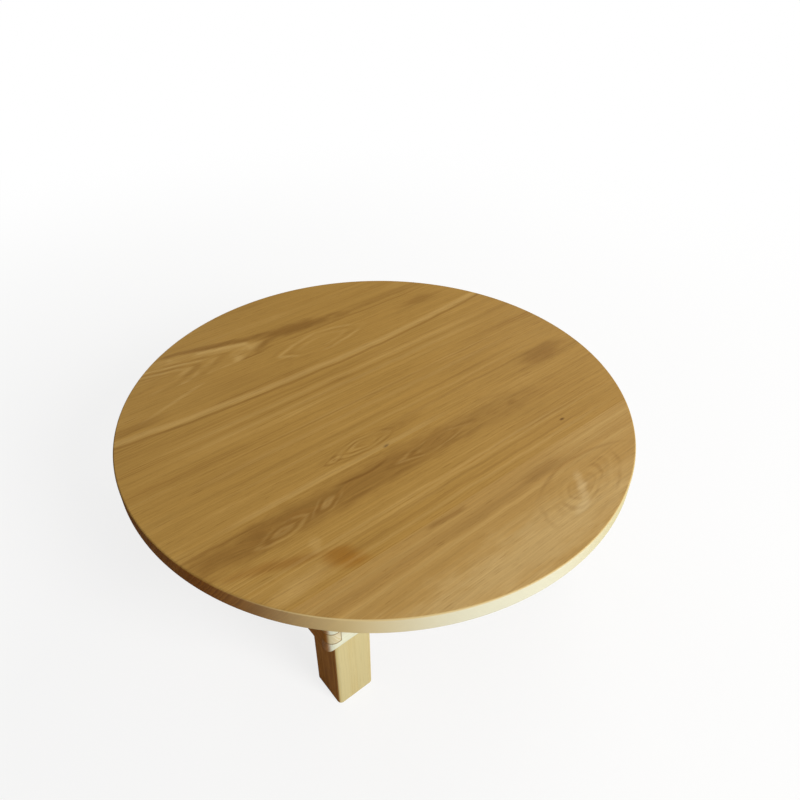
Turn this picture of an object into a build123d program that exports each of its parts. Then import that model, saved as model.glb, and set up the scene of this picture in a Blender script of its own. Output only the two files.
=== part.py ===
from build123d import *
from math import acos, asin, cos, degrees, radians, sin, tan
import os

# A round low table whose legs fold flat inside a box-jointed frame.
# Millimetres. The origin is on the floor under the middle of the top, +Z is up,
# and +X runs along the grain of the top and the long aprons.

# Round top, glued up from boards
table_height = 310
top_diameter = 900
top_thickness = 31
top_upper_bevel = 2
top_lower_bevel = 2
board_joints = (-276, -108, 68, 262)    # y of each glued joint, front to back

# Box-jointed frame of four aprons
frame_length = 628      # outside, along X
frame_width = 596       # outside, along Y
frame_corner_round = 15
apron_thickness = 20
finger_width = 22.5
finger_count = 4
apron_edge_round = 1.5

# Legs
leg_size = 66
leg_edge_round = 7
leg_foot_chamfer = 1
leg_side_gap = 0.5      # leg to long apron, so that it swings free
leg_end_gap = 0.3       # upright leg to short apron, which stops it
leg_top_gap = 0.3       # top of an upright leg to the underside of the top
pivot_inset = 35        # pivot axis from the outer face of the leg
pivot_drop = 33         # pivot axis below the underside of the top

# Pivot pegs, glued in the long aprons
peg_diameter = 14
peg_bite = 42           # length inside the leg
peg_proud = 1.5
peg_end_chamfer = 1
peg_end_gap = 1

# Rail between the two legs of a pair
rail_thickness = 24
rail_height = 24
rail_top_drop = 2      # rail's upper edge below the pivot axis
rail_outset = 10        # rail's middle outward of the pivot axis
tenon_thickness = 12
tenon_shoulder = 4
tenon_length = 18
tenon_end_gap = 1
rail_pin_diameter = 6
rail_pin_back = 9       # pin from the inner side of the leg
rail_pin_cover = 8      # wood left behind the blind end of the pin hole

# Stay, a bullnosed board that turns on a dowel between two lugs of the rail
stay_length = 180       # from the dowel's axis to the middle of the rounded nose
stay_width = 60
stay_thickness = 18
stay_side_gap = 0.5
stay_dowel_diameter = 8
stay_pivot_drop = 15    # dowel's axis below the rail's lower edge
stay_folded_droop = 4   # degrees that the folded stay hangs below level
lug_width = 20

# Cross battens with the notches that take the noses of the stays
batten_length = 400
batten_width = 50
batten_thickness = 18
batten_lead = 5         # batten's outer edge beyond the middle of the nose
batten_end_chamfer = 4
notch_side_gap = 2
nose_gap = 0.3
ramp_margin = 1         # degrees by which the notch's ramp is flatter than the nose's path
ramp_sample = 15        # degrees of fold over which that path is measured

# Buttons that hold the top to the short aprons
button_length = 28
button_width = 40
button_thickness = 18
button_spacing = 120
button_count = 3
tongue_length = 8
tongue_thickness = 7.5
tongue_gap = 1
tongue_under_gap = 0.5

# Wood screws, all of one size
screw_diameter = 4
screw_length = 28
screw_point = 6
screw_head_diameter = 8
screw_head_height = 2.6
screw_head_round = 1
screw_slot_width = 1.2
screw_slot_depth = 1.2
screw_grip = 12         # wood between the head and the underside of the top
screw_bore_gap = 0.75   # counterbore's wall from the head
batten_screw_near = 45  # from the middle of the batten
batten_screw_far = 170
batten_screw_travel = 3     # slot that lets the top move across its grain
apron_screw_spacing = 150
apron_screw_count = 3

# Fits
running_gap = 0.05      # radial, round parts that turn
glued_gap = 0.02        # radial, round parts that are glued or driven
end_allowance = 1       # depth beyond the end of a peg, pin or screw

# Places that follow from the sizes
underside = table_height - top_thickness
apron_depth = finger_width * finger_count
apron_bottom = underside - apron_depth
inner_x = frame_length / 2 - apron_thickness
inner_y = frame_width / 2 - apron_thickness
leg_outer_x = inner_x - leg_end_gap
leg_inner_x = leg_outer_x - leg_size
leg_outer_y = inner_y - leg_side_gap
leg_inner_y = leg_outer_y - leg_size
pivot_x = leg_outer_x - pivot_inset
pivot_z = underside - pivot_drop
rail_x = pivot_x + rail_outset
rail_top = pivot_z - rail_top_drop
rail_bottom = rail_top - rail_height
stay_x = rail_x
stay_z = rail_bottom - stay_pivot_drop
screw_seat = underside - screw_grip
nose_radius = stay_thickness / 2
nose_z = underside - nose_gap - nose_radius
stay_rise = degrees(asin((nose_z - stay_z) / stay_length))
nose_x = stay_x - stay_length * cos(radians(stay_rise))
batten_outer_x = nose_x + batten_lead
batten_inner_x = batten_outer_x - batten_width
stay_ratio = (stay_rise + stay_folded_droop) / 90   # stay's turn for each degree of leg fold


def block(x0, x1, y0, y1, z0, z1):
    """A box between two corners."""
    size = Box(x1 - x0, y1 - y0, z1 - z0)
    return Pos((x0 + x1) / 2, (y0 + y1) / 2, (z0 + z1) / 2) * size


def rod_along_y(radius, x, y0, y1, z):
    """A round rod parallel to Y."""
    return Pos(x, (y0 + y1) / 2, z) * Rot(90, 0, 0) * Cylinder(radius, y1 - y0)


def rod_along_x(radius, x0, x1, y, z):
    """A round rod parallel to X."""
    return Pos((x0 + x1) / 2, y, z) * Rot(0, 90, 0) * Cylinder(radius, x1 - x0)


def around(x, z, radius, angle):
    """A point of the XZ plane at an angle from +X about a centre."""
    return (x + radius * cos(radians(angle)), 0, z + radius * sin(radians(angle)))


def left_of(shape):
    """The same piece on the -X side."""
    return mirror(shape, about=Plane.YZ)


def rear_of(shape):
    """The same piece on the +Y side."""
    return mirror(shape, about=Plane.XZ)


def row(count, spacing):
    """Evenly spaced places about zero."""
    return [(number - (count - 1) / 2) * spacing for number in range(count)]


def screw_places():
    """Where each wood screw stands: x, y."""
    batten_x = (batten_inner_x + batten_outer_x) / 2
    button_x = inner_x - button_length / 2
    apron_y = inner_y + apron_thickness / 2
    batten_row = [side * y for side in (-1, 1) for y in (batten_screw_near, batten_screw_far)]
    battens = [(side * batten_x, y) for side in (-1, 1) for y in batten_row]
    buttons = [(side * button_x, y) for side in (-1, 1) for y in row(button_count, button_spacing)]
    aprons = [(x, side * apron_y) for side in (-1, 1) for x in row(apron_screw_count, apron_screw_spacing)]
    return battens, buttons, aprons


def wood_screw():
    """A round-headed slotted screw, point up, with the seat of its head at zero."""
    shank_length = screw_length - screw_point
    shank = Pos(0, 0, shank_length / 2) * Cylinder(screw_diameter / 2, shank_length)
    point = Pos(0, 0, shank_length + screw_point / 2) * Cone(screw_diameter / 2, 0, screw_point)
    head = Pos(0, 0, -screw_head_height / 2) * Cylinder(screw_head_diameter / 2, screw_head_height)
    head = fillet(head.edges().sort_by(Axis.Z)[0], screw_head_round)
    slot_length = screw_head_diameter + end_allowance
    slot = Pos(0, 0, -screw_head_height + screw_slot_depth / 2) * Box(
        slot_length, screw_slot_width, screw_slot_depth)
    return shank + point + head - slot


def screw_group(places):
    """One screw at each place."""
    screw = wood_screw()
    return Compound(children=[Pos(x, y, screw_seat) * screw for x, y in places])


def screw_hole(x, y, travel=0):
    """Room for a screw and its head from below, with a slot along Y where the wood may move."""
    radius = screw_diameter / 2 + glued_gap
    top = screw_seat + screw_length + end_allowance
    shank = Pos(x, y, (screw_seat + top) / 2) * Cylinder(radius, top - screw_seat)
    if travel:
        slot = SlotOverall(2 * radius + travel, 2 * radius, rotation=90)
        shank += Pos(x, y, screw_seat) * extrude(slot, top - screw_seat)
    depth = screw_seat - apron_bottom + end_allowance
    bore = Pos(x, y, screw_seat - depth / 2) * Cylinder(screw_head_diameter / 2 + screw_bore_gap, depth)
    return shank + bore


def top_boards():
    """The disc, sawn at its glue lines into separate boards."""
    disc = Pos(0, 0, underside + top_thickness / 2) * Cylinder(top_diameter / 2, top_thickness)
    disc = chamfer(disc.edges().group_by(Axis.Z)[-1], top_upper_bevel)
    disc = chamfer(disc.edges().group_by(Axis.Z)[0], top_lower_bevel)
    for places in screw_places():
        for x, y in places:
            disc -= screw_hole(x, y)
    edge = top_diameter / 2 + end_allowance
    lines = (-edge, *board_joints, edge)
    return [disc & block(-edge, edge, front, rear, underside, table_height)
            for front, rear in zip(lines, lines[1:])]


def frame_ring():
    """The four aprons before the corners are cut into fingers."""
    outline = RectangleRounded(frame_length, frame_width, frame_corner_round)
    ring = Pos(0, 0, apron_bottom) * extrude(outline, apron_depth)
    ring = fillet(ring.edges().group_by(Axis.Z)[0], apron_edge_round)
    return ring - block(-inner_x, inner_x, -inner_y, inner_y, apron_bottom, underside)


def corner_fingers(first):
    """The levels of all four corner squares that belong to one pair of aprons."""
    levels = []
    for number in range(first, finger_count, 2):
        low = apron_bottom + number * finger_width
        for side in (-1, 1):
            for end in (-1, 1):
                xs = sorted((side * inner_x, side * frame_length / 2))
                ys = sorted((end * inner_y, end * frame_width / 2))
                levels.append(block(*xs, *ys, low, low + finger_width))
    return levels


def aprons():
    """Front, rear, left and right aprons, with the mortises and screw holes they need."""
    ring = frame_ring()
    battens, buttons, screws = screw_places()
    outer_x, outer_y = frame_length / 2, frame_width / 2
    long_part = block(-inner_x, inner_x, -outer_y, -inner_y, apron_bottom, underside)
    short_part = block(inner_x, outer_x, -inner_y, inner_y, apron_bottom, underside)
    front_room = block(-outer_x, outer_x, -outer_y, -inner_y, apron_bottom, underside)
    right_room = block(inner_x, outer_x, -outer_y, outer_y, apron_bottom, underside)
    front = long_part
    for finger in corner_fingers(0):
        front += finger & front_room
    right = short_part
    for finger in corner_fingers(1):
        right += finger & right_room
    front = ring & front
    right = ring & right
    for x, y in screws:
        if y < 0:
            front -= screw_hole(x, y)
    for side in (-1, 1):
        front -= rod_along_y(peg_diameter / 2 + glued_gap, side * pivot_x, -outer_y, -inner_y, pivot_z)
    for y in row(button_count, button_spacing):
        right -= tongue_room(y)
    return {"apron_front": front, "apron_rear": rear_of(front),
            "apron_left": left_of(right), "apron_right": right}


def tongue_room(y):
    """Mortise in a short apron for the tongue of a button."""
    half = button_width / 2 + tongue_gap
    low = underside - button_thickness
    return block(inner_x, inner_x + tongue_length + tongue_gap, y - half, y + half,
                 low - tongue_under_gap, low + tongue_thickness)


def button(y):
    """A stepped wooden button, screwed to the top, with its tongue in the right apron."""
    half = button_width / 2
    low = underside - button_thickness
    body = block(inner_x - button_length, inner_x, y - half, y + half, low, underside)
    tongue = block(inner_x, inner_x + tongue_length, y - half, y + half, low, low + tongue_thickness)
    return body + tongue - screw_hole(inner_x - button_length / 2, y)


def nose_path_slope():
    """Degrees below level at which the nose leaves its notch as the legs start to fold."""
    fold = radians(ramp_sample)
    arm_in, arm_up = pivot_x - stay_x, stay_z - pivot_z
    elbow_in = arm_in * cos(fold) - arm_up * sin(fold)
    elbow_up = arm_in * sin(fold) + arm_up * cos(fold)
    rise = radians(stay_rise - stay_ratio * ramp_sample)
    start_in = arm_in + stay_length * cos(radians(stay_rise))
    start_up = arm_up + stay_length * sin(radians(stay_rise))
    moved = Vector(elbow_in + stay_length * cos(rise) - start_in,
                   elbow_up + stay_length * sin(rise) - start_up)
    return degrees(acos(moved.X / moved.length))


def batten():
    """The right cross batten: a ramped notch, up to the top, for the stay's nose, and screw holes."""
    half = batten_length / 2
    low = underside - batten_thickness
    body = block(batten_inner_x, batten_outer_x, -half, half, low, underside)
    ends = body.faces().group_by(Axis.Z)[0].edges().filter_by(Axis.X)
    body = chamfer(ends, batten_end_chamfer)
    ramp = nose_path_slope() - ramp_margin
    touch_x, _, touch_z = around(nose_x, nose_z, nose_radius + nose_gap, 90 + ramp)
    mouth_x = touch_x - (touch_z - low) / tan(radians(ramp))
    crest_x = touch_x + (underside - touch_z) / tan(radians(ramp))
    outline = Polyline((mouth_x, 0, low), (crest_x, 0, underside), (batten_outer_x, 0, underside),
                       (batten_outer_x, 0, low), close=True)
    body -= extrude(make_face(outline), stay_width / 2 + notch_side_gap, both=True)
    x = (batten_inner_x + batten_outer_x) / 2
    for side in (-1, 1):
        body -= screw_hole(x, side * batten_screw_near)
        body -= screw_hole(x, side * batten_screw_far, batten_screw_travel)
    return body


def leg():
    """The front right leg: square, with a top rounded about the pivot so that it can swing."""
    flat = pivot_drop - leg_top_gap
    outer_angle = degrees(asin(flat / pivot_inset))
    inner_width = leg_size - pivot_inset
    inner_angle = 180 - degrees(acos(inner_width / flat))
    outer_foot, outer_hip = (leg_outer_x, 0, 0), around(pivot_x, pivot_z, pivot_inset, 0)
    outer_crown = around(pivot_x, pivot_z, pivot_inset, outer_angle)
    inner_crown = around(pivot_x, pivot_z, flat, 90)
    inner_hip = around(pivot_x, pivot_z, flat, inner_angle)
    inner_foot = (leg_inner_x, 0, 0)
    outline = Polyline(inner_hip, inner_foot, outer_foot, outer_hip)
    outline += ThreePointArc(outer_hip, around(pivot_x, pivot_z, pivot_inset, outer_angle / 2), outer_crown)
    outline += Line(outer_crown, inner_crown)
    outline += ThreePointArc(inner_crown, around(pivot_x, pivot_z, flat, (90 + inner_angle) / 2), inner_hip)
    middle_y = -(leg_outer_y + leg_inner_y) / 2
    side_view = Pos(0, middle_y, 0) * extrude(make_face(outline), leg_size, both=True)
    middle_x = (leg_outer_x + leg_inner_x) / 2
    post = Pos(middle_x, middle_y, 0) * extrude(RectangleRounded(leg_size, leg_size, leg_edge_round), underside)
    post = chamfer(post.edges().group_by(Axis.Z)[0], leg_foot_chamfer)
    peg_hole = rod_along_y(peg_diameter / 2 + running_gap, pivot_x, -leg_outer_y,
                           -leg_outer_y + peg_bite + peg_end_gap, pivot_z)
    mortise = block(rail_x - tenon_thickness / 2, rail_x + tenon_thickness / 2,
                    -leg_inner_y - tenon_length - tenon_end_gap, -leg_inner_y,
                    rail_bottom + tenon_shoulder, rail_top - tenon_shoulder)
    return (post & side_view) - peg_hole - mortise - rail_pin_rod(glued_gap, end_allowance)


def rail_pin_rod(gap, extra):
    """The rod, or its hole, that pins the rail's tenon in the front right leg."""
    return rod_along_x(rail_pin_diameter / 2 + gap, leg_inner_x, leg_outer_x - rail_pin_cover - end_allowance + extra,
                       -leg_inner_y - rail_pin_back, (rail_top + rail_bottom) / 2)


def rail():
    """The right rail: a board with a tenon at each end and two lugs for the stay's dowel."""
    half_thick = rail_thickness / 2
    body = block(rail_x - half_thick, rail_x + half_thick, -leg_inner_y, leg_inner_y, rail_bottom, rail_top)
    reach = leg_inner_y + tenon_length
    body += block(rail_x - tenon_thickness / 2, rail_x + tenon_thickness / 2, -reach, reach,
                  rail_bottom + tenon_shoulder, rail_top - tenon_shoulder)
    inside = stay_width / 2 + stay_side_gap
    for side in (-1, 1):
        ys = sorted((side * inside, side * (inside + lug_width)))
        body += block(rail_x - half_thick, rail_x + half_thick, *ys, stay_z, rail_bottom)
        body += rod_along_y(half_thick, stay_x, *ys, stay_z)
    body -= rod_along_y(stay_dowel_diameter / 2 + glued_gap, stay_x, -leg_inner_y, leg_inner_y, stay_z)
    pin = rail_pin_rod(glued_gap, end_allowance)
    return body - pin - rear_of(pin)


def stay():
    """The right stay, raised from its dowel to its notch."""
    rise = radians(stay_rise)
    middle = ((stay_x + nose_x) / 2, 0, (stay_z + nose_z) / 2)
    face = Plane(origin=middle, x_dir=(-cos(rise), 0, sin(rise)), z_dir=(0, 1, 0))
    board = extrude(face * SlotCenterToCenter(stay_length, stay_thickness), stay_width / 2, both=True)
    return board - rod_along_y(stay_dowel_diameter / 2 + running_gap, stay_x, -stay_width, stay_width, stay_z)


def stay_dowel():
    """The dowel that the right stay turns on, glued in the rail's lugs."""
    reach = stay_width / 2 + stay_side_gap + lug_width
    return rod_along_y(stay_dowel_diameter / 2, stay_x, -reach, reach, stay_z)


def pivot_peg():
    """The front right peg, glued in the long apron and loose in the leg."""
    outer_y = frame_width / 2 + peg_proud
    peg = rod_along_y(peg_diameter / 2, pivot_x, -outer_y, -leg_outer_y + peg_bite, pivot_z)
    return chamfer(peg.edges().filter_by(GeomType.CIRCLE), peg_end_chamfer)


def rail_pins():
    """The two pins of the right rail's tenons."""
    pin = rail_pin_rod(0, 0)
    return Compound(children=[pin, rear_of(pin)])


pieces = {}
for number, board in enumerate(top_boards(), start=1):
    pieces[f"top_board_{number}"] = board
pieces.update(aprons())
batten_places, button_places, apron_places = screw_places()
pieces["batten_screws"] = screw_group(batten_places)
pieces["button_screws"] = screw_group(button_places)
pieces["apron_screws"] = screw_group(apron_places)
for number, y in enumerate(row(button_count, button_spacing), start=1):
    pieces[f"button_right_{number}"] = button(y)
    pieces[f"button_left_{number}"] = left_of(button(y))
front_leg, front_peg = leg(), pivot_peg()
right_pieces = {"batten": batten(), "leg_rail": rail(), "rail_pins": rail_pins(),
                "stay": stay(), "stay_dowel": stay_dowel(),
                "leg_front": front_leg, "leg_rear": rear_of(front_leg),
                "pivot_peg_front": front_peg, "pivot_peg_rear": rear_of(front_peg)}
for name, piece in right_pieces.items():
    pieces[name + "_right"] = piece
    pieces[name + "_left"] = left_of(piece)

os.makedirs("parts", exist_ok=True)
for name, piece in pieces.items():
    export_step(piece, f"parts/{name}.step")

print("leg pivot x %.3f z %.3f" % (pivot_x, pivot_z))
print("stay pivot x %.3f z %.3f" % (stay_x, stay_z))
print("stay rise %.4f degrees, turn relative to the leg %.4f degrees" % (stay_rise, 90 * (1 + stay_ratio)))
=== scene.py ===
import math

import bmesh
import bpy
from mathutils import Matrix, Vector


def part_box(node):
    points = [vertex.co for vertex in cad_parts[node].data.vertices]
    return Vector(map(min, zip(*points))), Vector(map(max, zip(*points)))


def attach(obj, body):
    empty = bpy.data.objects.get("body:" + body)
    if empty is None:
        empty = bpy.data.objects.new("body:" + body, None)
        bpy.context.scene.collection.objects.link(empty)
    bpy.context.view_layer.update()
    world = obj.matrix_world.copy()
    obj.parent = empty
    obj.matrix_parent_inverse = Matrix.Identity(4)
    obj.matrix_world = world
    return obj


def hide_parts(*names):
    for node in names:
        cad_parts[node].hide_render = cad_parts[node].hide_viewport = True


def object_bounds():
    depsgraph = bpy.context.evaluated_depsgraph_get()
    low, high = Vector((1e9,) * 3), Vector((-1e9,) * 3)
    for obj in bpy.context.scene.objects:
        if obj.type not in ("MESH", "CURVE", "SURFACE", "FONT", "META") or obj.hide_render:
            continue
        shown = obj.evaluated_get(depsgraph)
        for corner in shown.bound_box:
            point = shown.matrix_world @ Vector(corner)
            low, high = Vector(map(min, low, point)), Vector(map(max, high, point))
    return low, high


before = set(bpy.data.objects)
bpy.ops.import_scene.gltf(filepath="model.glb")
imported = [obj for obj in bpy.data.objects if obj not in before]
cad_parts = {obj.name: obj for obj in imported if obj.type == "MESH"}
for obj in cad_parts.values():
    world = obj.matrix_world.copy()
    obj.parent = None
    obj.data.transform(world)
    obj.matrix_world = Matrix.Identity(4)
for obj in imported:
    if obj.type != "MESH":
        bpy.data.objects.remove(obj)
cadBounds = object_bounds()
print("frame loaded")


# colours are given as they look on a screen, 0 to 255
def tint(red, green, blue):
    def linear(value):
        value /= 255
        return value / 12.92 if value <= 0.04045 else ((value + 0.055) / 1.055) ** 2.4
    return (linear(red), linear(green), linear(blue), 1.0)


# small helpers for shader nodes

def fill(tree, node, inputs):
    for name, value in inputs.items():
        if isinstance(value, bpy.types.NodeSocket):
            tree.links.new(value, node.inputs[name])
        else:
            node.inputs[name].default_value = value
    return node


def addNode(tree, kind, options=None, inputs=None):
    node = tree.nodes.new(kind)
    for name, value in (options or {}).items():
        setattr(node, name, value)
    return fill(tree, node, inputs or {})


def calc(tree, operation, *values):
    node = addNode(tree, "ShaderNodeMath", {"operation": operation})
    return fill(tree, node, dict(enumerate(values))).outputs[0]


def splitVector(tree, vector):
    return addNode(tree, "ShaderNodeSeparateXYZ", None, {0: vector}).outputs


def joinVector(tree, *values):
    return addNode(tree, "ShaderNodeCombineXYZ", None, dict(enumerate(values))).outputs[0]


def vectorCalc(tree, operation, first, second):
    node = addNode(tree, "ShaderNodeVectorMath", {"operation": operation})
    return fill(tree, node, {0: first, 1: second}).outputs[0]


def stretched(tree, vector, along, across=1.0):
    # small numbers draw a pattern out, large ones squeeze it
    return vectorCalc(tree, "MULTIPLY", vector, (along, across, across))


def centred(tree, value, size):
    # a value around 0.5 becomes one around nought
    return calc(tree, "MULTIPLY", calc(tree, "SUBTRACT", value, 0.5), size)


def drift(tree, point, look, size, detail=2.0):
    # smooth change around nought, drawn out along the grain
    return centred(tree, noise(tree, stretched(tree, point, look["along"]), look["scale"], detail), size)


def mixColour(tree, factor, first, second, blend="MIX"):
    node = addNode(tree, "ShaderNodeMix", {"data_type": "RGBA", "blend_type": blend})
    return fill(tree, node, {0: factor, 6: first, 7: second}).outputs[2]


def remap(tree, value, low, high, toLow=0.0, toHigh=1.0):
    node = addNode(tree, "ShaderNodeMapRange", {"interpolation_type": "SMOOTHSTEP"})
    return fill(tree, node, {0: value, 1: low, 2: high, 3: toLow, 4: toHigh}).outputs[0]


def fadeOut(tree, value, ends):
    return remap(tree, value, *ends, 1.0, 0.0)


def noise(tree, vector, scale, detail=2.0, roughness=0.5):
    inputs = {"Vector": vector, "Scale": scale, "Detail": detail, "Roughness": roughness}
    return addNode(tree, "ShaderNodeTexNoise", None, inputs).outputs[0]


def noiseAlong(tree, value, scale, detail=2.0, roughness=0.5):
    inputs = {"W": value, "Scale": scale, "Detail": detail, "Roughness": roughness}
    return addNode(tree, "ShaderNodeTexNoise", {"noise_dimensions": "1D"}, inputs).outputs[0]


def newGroup(name, inputs, outputs):
    group = bpy.data.node_groups.new(name, "ShaderNodeTree")
    for label, (kind, value) in inputs.items():
        socket = group.interface.new_socket(name=label, in_out="INPUT", socket_type="NodeSocket" + kind)
        if value is not None:
            socket.default_value = value
    for label, kind in outputs.items():
        group.interface.new_socket(name=label, in_out="OUTPUT", socket_type="NodeSocket" + kind)
    return group, group.nodes.new("NodeGroupInput").outputs, group.nodes.new("NodeGroupOutput")


def useGroup(tree, group, inputs):
    return addNode(tree, "ShaderNodeGroup", {"node_tree": group}, inputs).outputs


# Grain. A point has millimetres along the grain in x, across it in y and through it in z.
# Patterns are drawn out along the grain by "along", and "scale" is the scale of their noise per millimetre.

heartLook = {"uneven": {"along": 0.4, "scale": 0.03}, "ruffle": {"along": 0.3, "scale": 0.1, "size": 2.5},
             "patch": {"along": 0.6, "scale": 0.03, "low": -0.12, "high": 0.1, "least": 0.12}}
streakLook = {"sway": 7.0, "swayScale": 0.012, "edge": (0.2, 1.6), "ends": (0.5, 1.0)}
stainLook = {"rag": {"along": 0.3, "scale": 0.08, "size": 1.1}, "edge": (0.2, 1.3)}
jointLook = {"line": (0.5, 1.3), "margin": 0.8}
grainLook = {
    "wander": {"along": 0.18, "scale": 0.012}, "ripple": {"along": 0.35, "scale": 0.05, "size": 5.0},
    "unevenScale": 0.35, "unevenYears": 3.0, "pale": (0.0, 0.45), "dark": (0.5, 0.97),
    "patch": {"along": 0.12, "scale": 0.02, "low": 0.35, "high": 0.65, "least": 0.25},
    "fibre": {"along": 0.006, "across": 0.45, "through": 0.2, "rough": 0.62},
    "dashes": {"along": 0.035, "across": 0.85, "low": 0.58, "high": 0.72, "size": 1.0},
    "pricks": {"along": 0.16, "across": 3.2, "low": 0.6, "high": 0.7, "size": 0.8}, "poreRough": 0.4,
    "band": {"scale": 0.22, "rough": 0.55}, "cloud": {"along": 0.3, "scale": 0.011, "rough": 0.55},
}


def offsetParts(group, point, middle):
    return splitVector(group, vectorCalc(group, "SUBTRACT", point, middle))


def squared(tree, value):
    return calc(tree, "MULTIPLY", value, value)


def makeHeartGroup():
    # distance from the middle of nested ovals, long along the grain: arches where the middle is far off
    group, given, out = newGroup("Grain heart", {
        "Point": ("Vector", None), "Middle": ("Vector", None), "Dive": ("Float", 0.3),
        "Slope": ("Float", 0.0), "Squeeze": ("Float", 1.0), "Power": ("Float", 1.6),
        "Uneven": ("Float", 15.0)}, {"Rings": "Float", "Patchy": "Float"})
    parts = offsetParts(group, given["Point"], given["Middle"])
    leaned = calc(group, "SUBTRACT", parts[1], calc(group, "MULTIPLY", parts[0], given["Slope"]))
    other = calc(group, "MULTIPLY", leaned, calc(group, "MULTIPLY", given["Squeeze"], -1.0))
    across = calc(group, "POWER", calc(group, "MAXIMUM", leaned, other), given["Power"])
    along = calc(group, "ABSOLUTE", calc(group, "MULTIPLY", parts[0], given["Dive"]))
    both = calc(group, "ADD", calc(group, "POWER", along, given["Power"]), across)
    rings = calc(group, "POWER", both, calc(group, "DIVIDE", 1.0, given["Power"]))
    ruffle, patch = heartLook["ruffle"], heartLook["patch"]
    rings = calc(group, "ADD", rings, drift(group, given["Point"], heartLook["uneven"], given["Uneven"]))
    rings = calc(group, "ADD", rings, drift(group, given["Point"], ruffle, ruffle["size"]))
    patchy = drift(group, given["Point"], patch, 1.0)
    patchy = remap(group, patchy, patch["low"], patch["high"], patch["least"], 1.0)
    fill(group, out, {"Rings": rings, "Patchy": patchy})
    return group


def makeSwellGroup():
    # growth rings pushed aside round an old branch: small closed eyes, or a bow where it is weak
    group, given, out = newGroup("Grain swell", {
        "Point": ("Vector", None), "Middle": ("Vector", None),
        "Length": ("Float", 100.0), "Width": ("Float", 20.0), "Lift": ("Float", 20.0)}, {"Lift": "Float"})
    parts = offsetParts(group, given["Point"], given["Middle"])
    along = squared(group, calc(group, "DIVIDE", parts[0], given["Length"]))
    across = squared(group, calc(group, "DIVIDE", parts[1], given["Width"]))
    fade = calc(group, "EXPONENT", calc(group, "MULTIPLY", calc(group, "ADD", along, across), -1.0))
    fill(group, out, {"Lift": calc(group, "MULTIPLY", fade, given["Lift"])})
    return group


def makeStreakGroup():
    # one band of colour that follows the grain, bowed, and fading at both ends
    group, given, out = newGroup("Grain streak", {
        "Point": ("Vector", None), "Middle": ("Vector", None), "Bow": ("Float", 0.0),
        "Half length": ("Float", 300.0), "Half width": ("Float", 5.0)}, {"Mask": "Float"})
    parts = offsetParts(group, given["Point"], given["Middle"])
    bowed = calc(group, "MULTIPLY", squared(group, parts[0]), given["Bow"])
    sway = centred(group, noiseAlong(group, parts[0], streakLook["swayScale"], 1.0), streakLook["sway"])
    across = calc(group, "ABSOLUTE", calc(group, "SUBTRACT", calc(group, "ADD", parts[1], sway), bowed))
    near = fadeOut(group, calc(group, "DIVIDE", across, given["Half width"]), streakLook["edge"])
    along = calc(group, "DIVIDE", calc(group, "ABSOLUTE", parts[0]), given["Half length"])
    fill(group, out, {"Mask": calc(group, "MULTIPLY", near, fadeOut(group, along, streakLook["ends"]))})
    return group


def makeStainGroup():
    # a soft cloud of colour in the wood, longer along the grain, with a ragged edge
    group, given, out = newGroup("Wood stain", {
        "Point": ("Vector", None), "Middle": ("Vector", None), "Slope": ("Float", 0.0),
        "Half length": ("Float", 60.0), "Half width": ("Float", 20.0)}, {"Mask": "Float"})
    parts = offsetParts(group, given["Point"], given["Middle"])
    leaned = calc(group, "SUBTRACT", parts[1], calc(group, "MULTIPLY", parts[0], given["Slope"]))
    along = squared(group, calc(group, "DIVIDE", parts[0], given["Half length"]))
    across = squared(group, calc(group, "DIVIDE", leaned, given["Half width"]))
    ragged = drift(group, given["Point"], stainLook["rag"], stainLook["rag"]["size"], 3.0)
    distance = calc(group, "ADD", calc(group, "SQRT", calc(group, "ADD", along, across)), ragged)
    fill(group, out, {"Mask": fadeOut(group, distance, stainLook["edge"])})
    return group


def makeJointGroup():
    # dark lines round the fingers at the ends of a board, in millimetres
    group, given, out = newGroup("Finger joint", {
        "Point": ("Vector", None), "Reach": ("Float", 290.0), "Low": ("Float", 0.0), "Pitch": ("Float", 20.0),
        "Fingers": ("Float", 4.0), "First": ("Float", 0.0)}, {"Mask": "Float"})
    parts = splitVector(group, given["Point"])
    along = calc(group, "ABSOLUTE", parts[0])
    level = calc(group, "DIVIDE", calc(group, "SUBTRACT", parts[2], given["Low"]), given["Pitch"])
    apart = calc(group, "ABSOLUTE", calc(group, "SUBTRACT", level, calc(group, "ROUND", level)))
    apart = calc(group, "MULTIPLY", apart, given["Pitch"])
    within = calc(group, "MULTIPLY", calc(group, "GREATER_THAN", level, 0.5),
                  calc(group, "LESS_THAN", level, calc(group, "SUBTRACT", given["Fingers"], 0.5)))
    beyond = calc(group, "GREATER_THAN", along, calc(group, "SUBTRACT", given["Reach"], jointLook["margin"]))
    seam = calc(group, "MULTIPLY", fadeOut(group, apart, jointLook["line"]), within)
    seam = calc(group, "MULTIPLY", seam, beyond)
    parity = calc(group, "FLOORED_MODULO", calc(group, "FLOOR", level), 2.0)
    gone = calc(group, "ABSOLUTE", calc(group, "SUBTRACT", given["First"], parity))
    fromEnd = calc(group, "ABSOLUTE", calc(group, "SUBTRACT", along, given["Reach"]))
    butt = fadeOut(group, fromEnd, jointLook["line"])
    fill(group, out, {"Mask": calc(group, "MAXIMUM", seam, calc(group, "MULTIPLY", butt, gone))})
    return group


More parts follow.
